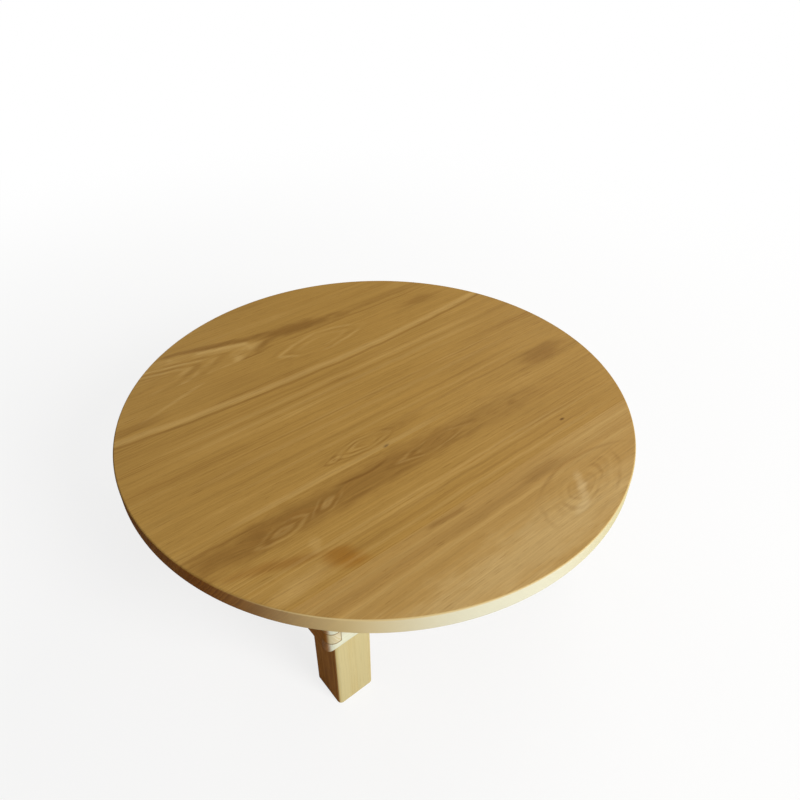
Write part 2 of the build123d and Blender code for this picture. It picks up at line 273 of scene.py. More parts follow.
def makeGrainGroup():
    # Band and Cloud: broad changes of tone. Ring: pale and dark side of each year. Fibre: fine lines.
    # Pore: open vessels.
    group, given, out = newGroup("Ash grain", {
        "Point": ("Vector", None), "Rings": ("Float", 0.0), "Ring width": ("Float", 9.0),
        "Wander": ("Float", 14.0), "Seed": ("Float", 0.0)},
        {"Band": "Float", "Ring": "Float", "Fibre": "Float", "Pore": "Float", "Cloud": "Float"})
    shift = joinVector(group, given["Seed"], given["Seed"], given["Seed"])
    point = vectorCalc(group, "ADD", given["Point"], shift)
    parts = splitVector(group, point)
    ripple, patch, fibre = grainLook["ripple"], grainLook["patch"], grainLook["fibre"]
    band, cloud = grainLook["band"], grainLook["cloud"]
    rings = calc(group, "ADD", given["Rings"], drift(group, point, grainLook["wander"], given["Wander"]))
    rings = calc(group, "ADD", rings, drift(group, point, ripple, ripple["size"]))
    count = calc(group, "ADD", calc(group, "DIVIDE", rings, given["Ring width"]), given["Seed"])
    uneven = noiseAlong(group, count, grainLook["unevenScale"], 1.0)
    uneven = calc(group, "ADD", count, centred(group, uneven, grainLook["unevenYears"]))
    year = calc(group, "FRACT", uneven)
    vigour = addNode(group, "ShaderNodeTexWhiteNoise", {"noise_dimensions": "1D"},
                     {"W": calc(group, "FLOOR", uneven)}).outputs[0]
    patchy = noise(group, stretched(group, point, patch["along"]), patch["scale"])
    patchy = remap(group, patchy, patch["low"], patch["high"], patch["least"], 1.0)
    pale = fadeOut(group, year, grainLook["pale"])
    dark = remap(group, year, *grainLook["dark"])
    side = calc(group, "MULTIPLY", calc(group, "SUBTRACT", pale, dark), vigour)
    side = calc(group, "MULTIPLY", side, patchy)
    cells = joinVector(group, calc(group, "MULTIPLY", parts[0], fibre["along"]),
                       calc(group, "MULTIPLY", rings, fibre["across"]),
                       calc(group, "MULTIPLY", parts[2], fibre["through"]))

    def vessels(look):
        spots = noise(group, stretched(group, point, look["along"], look["across"]), 1.0, 1.0,
                      grainLook["poreRough"])
        return calc(group, "MULTIPLY", remap(group, spots, look["low"], look["high"]), look["size"])

    dots = calc(group, "MAXIMUM", vessels(grainLook["dashes"]), vessels(grainLook["pricks"]))
    fill(group, out, {
        "Band": noiseAlong(group, count, band["scale"], 2.0, band["rough"]),
        "Ring": calc(group, "MULTIPLY_ADD", side, 0.5, 0.5),
        "Fibre": noise(group, cells, 1.0, 3.0, fibre["rough"]),
        "Pore": calc(group, "MULTIPLY", dots, calc(group, "MULTIPLY_ADD", dark, 0.6, 0.4)),
        "Cloud": noise(group, stretched(group, point, cloud["along"]), cloud["scale"], 3.0, cloud["rough"])})
    return group


grainGroup = makeGrainGroup()
heartGroup = makeHeartGroup()
swellGroup = makeSwellGroup()
streakGroup = makeStreakGroup()
stainGroup = makeStainGroup()
jointGroup = makeJointGroup()


surfaceLook = {"fibre": (0.3, 0.7), "side": (0.3, 0.6), "slant": (0.7, 0.96), "end": (0.6, 0.95),
               "years": (0.3, 0.7), "line": (0.1, 1.5), "heartReach": 1.6, "rougher": 0.05, "smoother": 0.04,
               "fibreHeight": 0.4, "poreDepth": 0.6}


def grainFrame(tree, axis, source):
    # turns a vector so that its x runs along the piece's grain
    parts = splitVector(tree, source)
    order = {"x": (0, 1, 2), "y": (1, 0, 2), "z": (2, 0, 1)}[axis]
    return joinVector(tree, *[parts[part] for part in order])


def swellMask(tree, point, middle, length, width, lift):
    return useGroup(tree, swellGroup, {"Point": point, "Middle": middle, "Length": length, "Width": width,
                                       "Lift": lift})[0]


def ringDistance(tree, point, look):
    # millimetres across the growth rings
    parts = splitVector(tree, point)
    rings = calc(tree, "MULTIPLY_ADD", parts[2], look["lean"], parts[1])
    for x, y, length, width, lift in look["swells"]:
        rings = calc(tree, "ADD", rings, swellMask(tree, point, (x, y, 0.0), length, width, lift))
    return rings


def findHearts(tree, point, look):
    # the rings, mask and lines of each heart, and how plain the wood stays round all of them
    hearts, plain = [], 1.0
    for heart in look["hearts"]:
        rings, patchy = useGroup(tree, heartGroup, {
            "Point": point, "Middle": (heart["x"], heart["y"], 0.0), "Dive": heart["dive"],
            "Slope": heart["slope"], "Squeeze": heart["squeeze"], "Power": heart["power"],
            "Uneven": heart["uneven"]})
        near = swellMask(tree, point, (heart["middle"], heart["y"], 0.0), heart["length"], heart["width"],
                         surfaceLook["heartReach"])
        near = calc(tree, "MINIMUM", near, 1.0)
        plain = calc(tree, "MULTIPLY", plain, calc(tree, "MULTIPLY_ADD", near, -look["quiet"], 1.0))
        hearts.append((rings, calc(tree, "MULTIPLY", near, patchy), heart["lines"]))
    return hearts, plain


def layTone(tree, grain, plain, look):
    tone = centred(tree, grain["Band"], look["bandStrength"])
    tone = calc(tree, "MULTIPLY_ADD", calc(tree, "SUBTRACT", grain["Ring"], 0.5), look["ringStrength"], tone)
    tone = calc(tree, "MULTIPLY_ADD", tone, plain, 0.5)
    cloud = calc(tree, "SUBTRACT", grain["Cloud"], 0.5)
    tone = calc(tree, "MULTIPLY_ADD", cloud, look["cloudStrength"], tone)
    colour = mixColour(tree, remap(tree, tone, 0.0, 0.5), look["dark"], look["mid"])
    return mixColour(tree, remap(tree, tone, 0.5, 1.0), colour, look["pale"])


def layMarks(tree, colour, point, group, bend, marks):
    for x, y, amount, halfLength, halfWidth, shade, strength in marks:
        mask = useGroup(tree, group, {"Point": point, "Middle": (x, y, 0.0), bend: amount,
                                      "Half length": halfLength, "Half width": halfWidth})[0]
        colour = mixColour(tree, calc(tree, "MULTIPLY", mask, strength), colour, shade)
    return colour


def layHearts(tree, colour, hearts):
    for rings, near, lines in hearts:
        for distance, halfWidth, shade, strength in lines:
            away = calc(tree, "ABSOLUTE", calc(tree, "SUBTRACT", rings, distance))
            away = calc(tree, "DIVIDE", away, halfWidth)
            mask = calc(tree, "MULTIPLY", remap(tree, away, *surfaceLook["line"], strength, 0.0), near)
            colour = mixColour(tree, mask, colour, shade)
    return colour


def laySides(tree, colour, point, facing, grain, look):
    # faces across the grain and along it, and sawn ends, get tones by which way they face: partly the wood's
    # own tone, partly painted light and shade, pale on faces the light falls on and brown on faces in shade
    across = calc(tree, "ABSOLUTE", facing[1])
    # painted glare: where a board has a glare fade, its side tone goes paler towards low x
    if "paintedGlareFade" in look:
        sideShare = fadeOut(tree, splitVector(tree, point)[0], look["paintedGlareFade"])
    else:
        sideShare = remap(tree, grain["Fibre"], *surfaceLook["fibre"])
    sideColour = mixColour(tree, sideShare, look["sideDark"], look["side"])
    sideColour = mixColour(tree, remap(tree, across, *surfaceLook["slant"]), look["slant"], sideColour)
    sides = remap(tree, across, *surfaceLook["side"], 0.0, look["sideStrength"])
    colour = mixColour(tree, sides, colour, sideColour)
    ends = remap(tree, calc(tree, "ABSOLUTE", facing[0]), *surfaceLook["end"], 0.0, look["endStrength"])
    years = calc(tree, "MULTIPLY_ADD", grain["Ring"], 0.6, calc(tree, "MULTIPLY", grain["Band"], 0.4))
    endColour = mixColour(tree, remap(tree, years, *surfaceLook["years"]), look["endDark"], look["end"])
    return mixColour(tree, ends, colour, endColour)


def newMaterial(name):
    material = bpy.data.materials.new(name)
    material.use_nodes = True
    material.node_tree.nodes.clear()
    return material, material.node_tree


def finishMaterial(tree, inputs):
    shader = addNode(tree, "ShaderNodeBsdfPrincipled", None, inputs)
    addNode(tree, "ShaderNodeOutputMaterial", None, {"Surface": shader.outputs[0]})


def ashMaterial(name, look):
    material, tree = newMaterial(name)
    place = addNode(tree, "ShaderNodeTexCoord").outputs
    metres = grainFrame(tree, look["axis"], place["Object"])
    facing = splitVector(tree, grainFrame(tree, look["axis"], place["Normal"]))
    point = vectorCalc(tree, "MULTIPLY", metres, (1000.0, 1000.0, 1000.0))
    grain = useGroup(tree, grainGroup, {
        "Point": point, "Rings": ringDistance(tree, point, look), "Ring width": look["ringWidth"],
        "Wander": look["wander"], "Seed": look["seed"]})
    hearts, plain = findHearts(tree, point, look)
    colour = layTone(tree, grain, plain, look)
    colour = layMarks(tree, colour, point, stainGroup, "Slope", look["stains"])
    colour = layMarks(tree, colour, point, streakGroup, "Bow", look["streaks"])
    colour = layHearts(tree, colour, hearts)
    spread = look["fibreStrength"]
    fibre = remap(tree, grain["Fibre"], *surfaceLook["fibre"], 1.0 - spread, 1.0 + spread)
    colour = mixColour(tree, 1.0, colour, joinVector(tree, fibre, fibre, fibre), "MULTIPLY")
    pores = calc(tree, "MULTIPLY", grain["Pore"], look["poreStrength"])
    colour = mixColour(tree, pores, colour, look["pore"])
    colour = laySides(tree, colour, point, facing, grain, look)
    if "joint" in look:
        mask = useGroup(tree, jointGroup, {"Point": point, **look["joint"]})[0]
        mask = calc(tree, "MULTIPLY", mask, look["jointStrength"])
        colour = mixColour(tree, mask, colour, look["pore"])
    roughness = remap(tree, grain["Fibre"], *surfaceLook["fibre"], look["roughness"] + surfaceLook["rougher"],
                      look["roughness"] - surfaceLook["smoother"])
    sunk = calc(tree, "MULTIPLY", grain["Pore"], -surfaceLook["poreDepth"])
    height = calc(tree, "MULTIPLY_ADD", grain["Fibre"], surfaceLook["fibreHeight"], sunk)
    bump = addNode(tree, "ShaderNodeBump", None,
                   {"Height": height, "Strength": look["bump"], "Distance": look["bumpDepth"]})
    finishMaterial(tree, {"Base Color": colour, "Roughness": roughness, "Normal": bump.outputs[0],
                          "Specular IOR Level": 0.0, "Coat Weight": look["coat"],
                          "Coat Roughness": look["coatRoughness"]})
    return material


# Finishing a piece

finishing = {"sharpAngle": 35.0, "easedEdge": 0.0006, "edgeSteps": 2, "mergeDistance": 1e-6, "flatAngle": 0.3}
touching = 1e-5    # metres within which two places are taken as the same


def finishPiece(name, meshData, material, body, node, edgeWidth=0.0):
    for polygon in meshData.polygons:
        polygon.use_smooth = True
    meshData.set_sharp_from_angle(angle=math.radians(finishing["sharpAngle"]))
    piece = bpy.data.objects.new(name, meshData)
    bpy.context.scene.collection.objects.link(piece)
    meshData.materials.clear()
    meshData.materials.append(material)
    if edgeWidth:
        edge = piece.modifiers.new("Eased edges", "BEVEL")
        edge.width = edgeWidth
        edge.segments = finishing["edgeSteps"]
        edge.limit_method = "ANGLE"
        edge.angle_limit = math.radians(finishing["sharpAngle"])
        edge.harden_normals = True
    weighted = piece.modifiers.new("Weighted normals", "WEIGHTED_NORMAL")
    weighted.keep_sharp = True
    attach(piece, body)
    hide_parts(node)


# Top, glued up from five boards

topLook = {"boards": 5, "upperRound": 0.0032, "lowerRound": 0.0032, "roundSteps": 6, "rimSteps": 288,
           "rimMargin": 1e-4}
paleAsh, midAsh, darkAsh = tint(180, 144, 82), tint(164, 127, 65), tint(137, 100, 48)
poreAsh, brownAsh, creamAsh = tint(104, 68, 30), tint(116, 78, 34), tint(194, 160, 100)
woodBase = {"axis": "x", "wander": 14.0, "lean": 0.55,
            "swells": [], "stains": [], "streaks": [], "hearts": [], "quiet": 0.6,
            "dark": darkAsh, "mid": midAsh, "pale": paleAsh, "pore": poreAsh,
            "bandStrength": 0.6, "ringStrength": 0.35, "cloudStrength": 0.9, "fibreStrength": 0.08,
            # end and endDark: the rim's sawn ends across X, browner than their end grain alone, partly the
            # wood's own tone and partly painted shade
            "poreStrength": 0.36, "end": tint(134, 82, 28), "endDark": tint(110, 60, 16), "endStrength": 0.92,
            # side, sideDark and slant: the rim's faces along the grain, near white and going yellow towards
            # the ends, are painted glare
            "side": tint(206, 204, 182), "sideDark": tint(192, 184, 144), "slant": tint(198, 177, 128),
            "sideStrength": 0.94, "roughness": 0.48, "coat": 0.06, "coatRoughness": 0.34,
            "bump": 0.16, "bumpDepth": 0.0003}


def nested(*rings):
    # lines of a heart: distance, half width and strength of each, pale where positive and dark where negative
    return [(distance, halfWidth, creamAsh if strength > 0 else brownAsh, abs(strength))
            for distance, halfWidth, strength in rings]


# Places and sizes of marks are millimetres along and across the grain, from the middle of the top.
# A streak has x, y, bow, half length, half width, colour and strength, and a stain has a slope for the bow.
# A swell has x, y, length, width and lift.
boardLooks = {
    1: {"seed": 3.1, "ringWidth": 6.5, "wander": 8.0, "mid": tint(168, 132, 74), "pale": tint(184, 152, 94),
        # painted glare: this board's rim goes paler towards -X
        "paintedGlareFade": (-80.0, 160.0),
        "hearts": [
            {"x": 118.0, "y": -370.0, "dive": 0.5, "slope": 0.2, "squeeze": 1.1, "power": 2.0, "uneven": 17.0,
             "middle": 130.0, "length": 120.0, "width": 46.0,
             "lines": nested((8.0, 5.0, -0.12), (16.0, 2.2, -0.2), (21.0, 3.0, 0.12), (27.0, 2.4, -0.24),
                             (35.0, 3.5, -0.1), (41.0, 2.5, 0.12), (50.0, 2.5, -0.2))}],
        "streaks": [(-110.0, -309.0, 0.0, 330.0, 9.0, brownAsh, 0.18),
                    (-100.0, -325.0, 0.0, 300.0, 3.0, creamAsh, 0.25),
                    (-90.0, -285.0, 0.0, 45.0, 4.0, brownAsh, 0.45),
                    (150.0, -318.0, -0.0022, 130.0, 3.0, brownAsh, 0.25)],
        "stains": [(-40.0, -405.0, 0.0, 340.0, 50.0, tint(196, 168, 116), 0.5),
                   (98.0, -305.0, 0.0, 50.0, 14.0, brownAsh, 0.25),
                   # painted sheen: the two pale spots at (118, -366) and (88, -394) stand in for a light spot
                   # on the finish
                   (118.0, -366.0, 1.0, 22.0, 14.0, tint(216, 190, 142), 0.32),
                   (88.0, -394.0, 0.3, 24.0, 10.0, tint(216, 192, 144), 0.3)]},
    2: {"seed": 11.7, "ringWidth": 5.5,
        "swells": [(-290.0, -150.0, 60.0, 14.0, 16.0), (-205.0, -146.0, 40.0, 11.0, 12.0),
                   (-30.0, -150.0, 60.0, 12.0, 12.0)],
        "hearts": [
            {"x": -292.0, "y": -156.0, "dive": 0.3, "slope": 0.1, "squeeze": 1.0, "power": 1.5, "uneven": 9.0,
             "middle": -292.0, "length": 70.0, "width": 20.0,
             "lines": nested((4.0, 3.0, 0.2), (9.0, 2.0, -0.28), (13.5, 2.0, 0.2), (18.0, 2.0, -0.2))},
            {"x": -210.0, "y": -150.0, "dive": 0.4, "slope": 0.35, "squeeze": 1.0, "power": 1.5,
             "uneven": 9.0, "middle": -210.0, "length": 40.0, "width": 16.0,
             "lines": nested((3.0, 3.5, 0.3), (9.0, 2.2, -0.25), (14.0, 2.0, 0.15))},
            {"x": 0.0, "y": -150.0, "dive": 0.16, "slope": 0.0, "squeeze": 1.0, "power": 1.4, "uneven": 12.0,
             "middle": 0.0, "length": 120.0, "width": 20.0,
             "lines": nested((3.0, 2.0, 0.2), (8.0, 1.8, -0.35), (12.0, 1.6, 0.2), (16.0, 2.0, -0.25))}],
        "streaks": [(-60.0, -217.0, 0.0, 380.0, 3.0, creamAsh, 0.25),
                    (0.0, -225.0, 0.0, 380.0, 2.5, creamAsh, 0.2),
                    (20.0, -233.0, 0.0, 360.0, 2.5, brownAsh, 0.2),
                    (0.0, -249.0, 0.0, 380.0, 3.0, brownAsh, 0.22),
                    (0.0, -260.0, 0.0, 380.0, 3.0, creamAsh, 0.22),
                    (-380.0, -122.0, 0.0, 90.0, 2.5, brownAsh, 0.4),
                    (-132.0, -136.0, 0.0022, 62.0, 2.6, brownAsh, 0.6),
                    (-60.0, -168.0, 0.0, 200.0, 3.5, brownAsh, 0.25)],
        "stains": [(-130.0, -146.0, 0.0, 370.0, 34.0, brownAsh, 0.5),
                   (-370.0, -142.0, 0.0, 110.0, 30.0, brownAsh, 0.35),
                   (-325.0, -205.0, -0.35, 80.0, 12.0, tint(136, 90, 36), 0.5),
                   (-268.0, -206.0, 0.6, 12.0, 16.0, creamAsh, 0.3),
                   (-325.0, -252.0, 0.1, 62.0, 20.0, creamAsh, 0.45),
                   (-246.0, -252.0, -0.5, 30.0, 26.0, tint(148, 98, 32), 0.7),
                   (187.0, -153.0, 0.0, 14.0, 6.0, brownAsh, 0.3),
                   (220.0, -242.0, 0.0, 6.0, 3.0, tint(84, 50, 22), 0.8)]},
    3: {"seed": 23.3, "ringWidth": 5.0, "bandStrength": 0.5,
        "hearts": [
            {"x": -88.0, "y": -78.0, "dive": 0.28, "slope": 0.0, "squeeze": 1.0, "power": 1.5, "uneven": 9.0,
             "middle": -85.0, "length": 85.0, "width": 26.0,
             "lines": nested((2.0, 3.0, -0.35), (6.5, 1.8, 0.25), (10.0, 1.8, -0.45), (14.0, 2.0, 0.2),
                             (18.0, 2.0, -0.35), (24.0, 2.5, -0.2))},
            {"x": -150.0, "y": -80.0, "dive": 0.4, "slope": 0.1, "squeeze": 1.0, "power": 1.5, "uneven": 9.0,
             "middle": -150.0, "length": 30.0, "width": 14.0,
             "lines": nested((3.0, 1.6, 0.2), (7.0, 1.6, -0.3))}],
        "streaks": [(0.0, 21.0, 0.0, 430.0, 2.5, brownAsh, 0.2), (0.0, 0.0, 0.0, 430.0, 5.0, creamAsh, 0.16),
                    (0.0, -32.0, 0.0, 430.0, 2.5, brownAsh, 0.2),
                    (20.0, -46.0, 0.0, 400.0, 3.0, creamAsh, 0.16),
                    (190.0, -64.0, 0.0, 260.0, 2.5, brownAsh, 0.25),
                    (-150.0, -103.0, 0.0, 260.0, 6.0, creamAsh, 0.35)],
        "stains": [(350.0, -82.0, 0.0, 70.0, 30.0, brownAsh, 0.5),
                   (-20.0, -76.0, 0.0, 70.0, 14.0, brownAsh, 0.2),
                   (-62.0, -105.0, 0.15, 8.0, 3.4, tint(70, 42, 18), 1.0)]},
    4: {"seed": 37.9, "ringWidth": 7.0, "bandStrength": 0.45,
        "hearts": [
            {"x": 36.0, "y": 226.0, "dive": 0.3, "slope": 0.0, "squeeze": 1.0, "power": 1.3, "uneven": 12.0,
             "middle": 40.0, "length": 150.0, "width": 36.0,
             "lines": nested((16.0, 3.0, 0.15), (25.0, 3.0, -0.15), (32.0, 3.0, 0.35), (40.0, 3.0, -0.15))}],
        "streaks": [(0.0, 152.0, 0.000144, 640.0, 7.0, creamAsh, 0.42),
                    (0.0, 140.0, 0.000144, 640.0, 3.0, brownAsh, 0.4),
                    (-100.0, 124.0, 0.0, 330.0, 3.0, brownAsh, 0.2),
                    (0.0, 115.0, 0.0, 420.0, 2.5, brownAsh, 0.2),
                    (0.0, 103.0, 0.0, 420.0, 5.0, creamAsh, 0.2),
                    (0.0, 92.0, 0.0, 420.0, 3.0, brownAsh, 0.16),
                    (0.0, 79.0, 0.0, 420.0, 5.0, creamAsh, 0.2)],
        "stains": [(290.0, 230.0, 0.0, 60.0, 18.0, brownAsh, 0.4),
                   (-370.0, 196.0, 0.0, 70.0, 12.0, brownAsh, 0.35),
                   (-285.0, 222.0, 0.3, 70.0, 5.0, creamAsh, 0.3)]},
    5: {"seed": 51.0, "ringWidth": 8.0, "wander": 8.0, "bandStrength": 0.45,
        "hearts": [
            {"x": -330.0, "y": 302.0, "dive": 0.25, "slope": 0.0, "squeeze": 0.65, "power": 1.2,
             "uneven": 3.0, "middle": -175.0, "length": 165.0, "width": 75.0,
             "lines": nested((14.0, 3.0, -0.15), (21.0, 3.0, -0.25), (27.0, 3.2, 0.35), (33.0, 3.5, -0.3),
                             (40.5, 2.8, 0.5), (46.0, 3.5, -0.3), (53.0, 2.5, 0.2), (62.0, 6.5, 0.6),
                             (72.0, 5.0, -0.5))}],
        "streaks": [(150.0, 269.0, 0.0, 240.0, 3.0, brownAsh, 0.3)],
        "stains": [(-150.0, 343.0, -0.24, 110.0, 9.0, brownAsh, 0.55),
                   (20.0, 299.0, -0.15, 110.0, 22.0, brownAsh, 0.65),
                   (-112.0, 260.0, 0.2, 60.0, 5.0, brownAsh, 0.45),
                   (240.0, 290.0, 0.0, 150.0, 14.0, brownAsh, 0.3)]},
}


def makeTop():
    lowest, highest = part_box("top_board_3")    # the middle board reaches the rim on both sides
    radius = highest.x
    disc = bmesh.new()
    bmesh.ops.create_circle(disc, cap_ends=True, segments=topLook["rimSteps"], radius=radius,
                            matrix=Matrix.Translation((0, 0, lowest.z)))
    raised = bmesh.ops.extrude_face_region(disc, geom=disc.faces[:])["geom"]
    rising = [item for item in raised if isinstance(item, bmesh.types.BMVert)]
    bmesh.ops.translate(disc, verts=rising, vec=(0, 0, highest.z - lowest.z))
    bmesh.ops.recalc_face_normals(disc, faces=disc.faces[:])
    for level, amount in ((highest.z, topLook["upperRound"]), (lowest.z, topLook["lowerRound"])):
        rim = [edge for edge in disc.edges if all(abs(vert.co.z - level) < touching for vert in edge.verts)]
        bmesh.ops.bevel(disc, geom=rim, offset=amount, segments=topLook["roundSteps"], profile=0.5,
                        affect="EDGES", material=-1)
    for number in range(1, topLook["boards"] + 1):
        node = f"top_board_{number}"
        front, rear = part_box(node)
        board = disc.copy()
        for line, side in ((front.y, -1), (rear.y, 1)):
            if abs(line) > radius - topLook["rimMargin"]:
                continue
            cut = bmesh.ops.bisect_plane(board, geom=board.verts[:] + board.edges[:] + board.faces[:],
                                         plane_co=(0, line, 0), plane_no=(0, side, 0), clear_outer=True)
            sawn = [item for item in cut["geom_cut"] if isinstance(item, bmesh.types.BMEdge)]
            bmesh.ops.edgeloop_fill(board, edges=sawn)
        bmesh.ops.recalc_face_normals(board, faces=board.faces[:])
        data = bpy.data.meshes.new(f"topBoard{number}")
        board.to_mesh(data)
        board.free()
        material = ashMaterial(f"Ash board {number}", {**woodBase, **boardLooks[number]})
        finishPiece(f"topBoard{number}", data, material, "table", node)
    disc.free()


makeTop()
print("top made")


# Woods of the other pieces

# painted shade: brown that stands in for the shade on faces across X
paintedShadeSide, paintedShadeSideDark = tint(158, 100, 36), tint(132, 78, 22)
woods = {    # painted shade: the legs' and aprons' faces across X are painted browner than those across Y
    # long aprons: their brown finger ends across X are painted shade
    "long apron": {**woodBase, "ringWidth": 6.0, "wander": 5.0,
                   "dark": tint(198, 196, 166), "mid": tint(206, 207, 186), "pale": tint(212, 212, 196),
                   "pore": tint(116, 88, 46), "end": paintedShadeSide, "endDark": paintedShadeSideDark,
                   "sideStrength": 0.0, "bandStrength": 0.5, "poreStrength": 0.1, "fibreStrength": 0.03},
    # short aprons: their brown mid tone and brown faces across X are painted shade, and their pale finger
    # ends across Y and pale rounded edges are painted light
    "short apron": {**woodBase, "axis": "y", "ringWidth": 6.0, "wander": 5.0, "mid": tint(170, 128, 70),
                    "side": paintedShadeSide, "sideDark": paintedShadeSideDark, "slant": tint(198, 186, 148),
                    "end": tint(206, 200, 174), "endDark": tint(194, 182, 146)},
    # legs: brown faces across X are painted shade, and pale rounded edges are painted light
    "leg": {**woodBase, "axis": "z", "ringWidth": 8.0, "wander": 10.0, "lean": 0.12,
            "dark": tint(184, 163, 110), "mid": tint(188, 175, 130), "pale": tint(196, 186, 144),
            "side": paintedShadeSide, "sideDark": paintedShadeSideDark, "slant": tint(198, 180, 126),
            "end": tint(150, 112, 64), "endDark": tint(132, 94, 50),
            "bandStrength": 0.7, "poreStrength": 0.15, "fibreStrength": 0.03},
    "rail": {**woodBase, "axis": "y", "ringWidth": 6.0, "wander": 8.0, "sideStrength": 0.0},
    "stay": {**woodBase, "ringWidth": 7.0, "wander": 8.0, "sideStrength": 0.0},
    "peg": {**woodBase, "axis": "y", "ringWidth": 3.0, "wander": 2.0, "sideStrength": 0.0,
            "dark": tint(134, 94, 48), "mid": tint(160, 118, 66), "pale": tint(176, 136, 82),
            "end": tint(128, 88, 46), "endDark": tint(104, 68, 34)},
}


def dressedCopy(node, name, material, body, edgeWidth):
    shape = bmesh.new()
    shape.from_mesh(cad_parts[node].data)
    bmesh.ops.remove_doubles(shape, verts=shape.verts[:], dist=finishing["mergeDistance"])
    bmesh.ops.dissolve_limit(shape, angle_limit=math.radians(finishing["flatAngle"]),
                             verts=shape.verts[:], edges=shape.edges[:])
    data = bpy.data.meshes.new(name)
    shape.to_mesh(data)
    shape.free()
    finishPiece(name, data, material, body, node, edgeWidth)


def camelCase(node):
    first, *others = node.split("_")
    return first + "".join(word.capitalize() for word in others)


# Aprons, finger-jointed at the rounded corners of the frame

apronLook = {"fingers": 4, "cornerRound": 0.015, "cornerSteps": 10, "edgeRound": 0.0015, "edgeSteps": 3,
             "flatAngle": 0.01, "jointStrength": 0.85, "firstSeed": 61.0, "seedStep": 9.0}
socketLook = {"depth": 0.018, "height": 0.008, "spare": 0.002, "tipToMiddle": 0.008, "rise": 0.0035}
boreLook = {"screwWidth": 0.0095, "screwTop": 0.012, "screwRadius": 0.004, "through": 0.001,
            "pegWidth": 0.0144, "sides": 32}


def apronBlank(innerLength, thickness, low, high, firstFinger):
    # a board along X whose outer face looks to -Y, with every other level at its ends drawn out into a finger
    board = bmesh.new()
    size = Matrix.Diagonal((innerLength, thickness, high - low, 1.0))
    bmesh.ops.create_cube(board, size=1.0, matrix=Matrix.Translation((0, 0, (low + high) / 2)) @ size)
    pitch = (high - low) / apronLook["fingers"]
    for level in range(1, apronLook["fingers"]):
        bmesh.ops.bisect_plane(board, geom=board.verts[:] + board.edges[:] + board.faces[:],
                               plane_co=(0, 0, low + level * pitch), plane_no=(0, 0, 1))
    ends = [face for face in board.faces if abs(face.normal.x) > 0.9
            and int((face.calc_center_median().z - low) / pitch) % 2 == firstFinger]
    for face in bmesh.ops.extrude_discrete_faces(board, faces=ends)["faces"]:
        outwards = math.copysign(thickness, face.calc_center_median().x)
        bmesh.ops.translate(board, verts=face.verts[:], vec=(outwards, 0, 0))
    bmesh.ops.remove_doubles(board, verts=board.verts[:], dist=finishing["mergeDistance"])
    bmesh.ops.dissolve_limit(board, angle_limit=apronLook["flatAngle"],
                             verts=board.verts[:], edges=board.edges[:])
    reach, face = innerLength / 2 + thickness, -thickness / 2

    def atEnd(vert):
        return abs(abs(vert.co.x) - reach) < touching

    def onFace(vert):
        return abs(vert.co.y - face) < touching

    corners = [edge for edge in board.edges if all(atEnd(vert) and onFace(vert) for vert in edge.verts)]
    bmesh.ops.bevel(board, geom=corners, offset=apronLook["cornerRound"], segments=apronLook["cornerSteps"],
                    profile=0.5, affect="EDGES", material=-1)

    def onOuterEdge(vert):
        arc = abs(vert.co.x) > reach - apronLook["cornerRound"] - touching and vert.co.y < -face - touching
        return abs(vert.co.z - low) < touching and (onFace(vert) or arc or atEnd(vert))

    lower = [edge for edge in board.edges if all(onOuterEdge(vert) for vert in edge.verts)
             and any(abs(linked.normal.z) < 0.5 for linked in edge.link_faces)
             and any(linked.normal.z < -0.5 for linked in edge.link_faces)]
    bmesh.ops.bevel(board, geom=lower, offset=apronLook["edgeRound"], segments=apronLook["edgeSteps"],
                    profile=0.5, affect="EDGES", material=-1)
    return board


def roundCutter(cutter, width, depth, middle, turn):
    place = Matrix.Translation(middle) @ Matrix.Rotation(math.radians(turn), 4, "X")
    bmesh.ops.create_cone(cutter, cap_ends=True, segments=boreLook["sides"], radius1=width / 2,
                          radius2=width / 2, depth=depth, matrix=place)


def cutSockets(cutter, side):
    # the tongue of each button sits in a socket of the board's inner face
    for number in (1, 2, 3):
        tongueLow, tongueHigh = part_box(f"button_{side}_{number}")
        tip = tongueHigh.x if side == "right" else tongueLow.x
        middle = (tip - math.copysign(socketLook["tipToMiddle"], tip), (tongueLow.y + tongueHigh.y) / 2,
                  tongueLow.z + socketLook["rise"])
        width = tongueHigh.y - tongueLow.y + socketLook["spare"]
        size = (socketLook["depth"], width, socketLook["height"], 1.0)
        bmesh.ops.create_cube(cutter, size=1.0, matrix=Matrix.Translation(middle) @ Matrix.Diagonal(size))


def cutBores(cutter, side, low, high):
    # screws come up from below, and a peg goes through near each end
    middle, start = (low.y + high.y) / 2, low.z - boreLook["through"]
    depth = high.z - boreLook["screwTop"] - start
    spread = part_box("apron_screws")[1].x - boreLook["screwRadius"]
    for screw in (-1, 0, 1):
        roundCutter(cutter, boreLook["screwWidth"], depth, (screw * spread, middle, start + depth / 2), 0)
    for end in ("left", "right"):
        pegLow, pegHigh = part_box(f"pivot_peg_{side}_{end}")
        peg = (pegLow + pegHigh) / 2
        roundCutter(cutter, boreLook["pegWidth"], 3 * (high.y - low.y), (peg.x, middle, peg.z), 90)


def carve(data, cutter):
    # takes the cutter's shapes out of a mesh
    tool = bpy.data.objects.new("cutter", bpy.data.meshes.new("cutter"))
    blank = bpy.data.objects.new("blank", data)
    cutter.to_mesh(tool.data)
    cutter.free()
    for thing in (tool, blank):
        bpy.context.scene.collection.objects.link(thing)
    cut = blank.modifiers.new("Cut", "BOOLEAN")
    cut.operation = "DIFFERENCE"
    cut.solver = "EXACT"
    cut.object = tool
    bpy.context.view_layer.update()
    carved = bpy.data.meshes.new_from_object(blank.evaluated_get(bpy.context.evaluated_depsgraph_get()))
    carved.name = data.name + "Carved"
    for thing in (tool, blank):
        bpy.data.objects.remove(thing)
    return carved


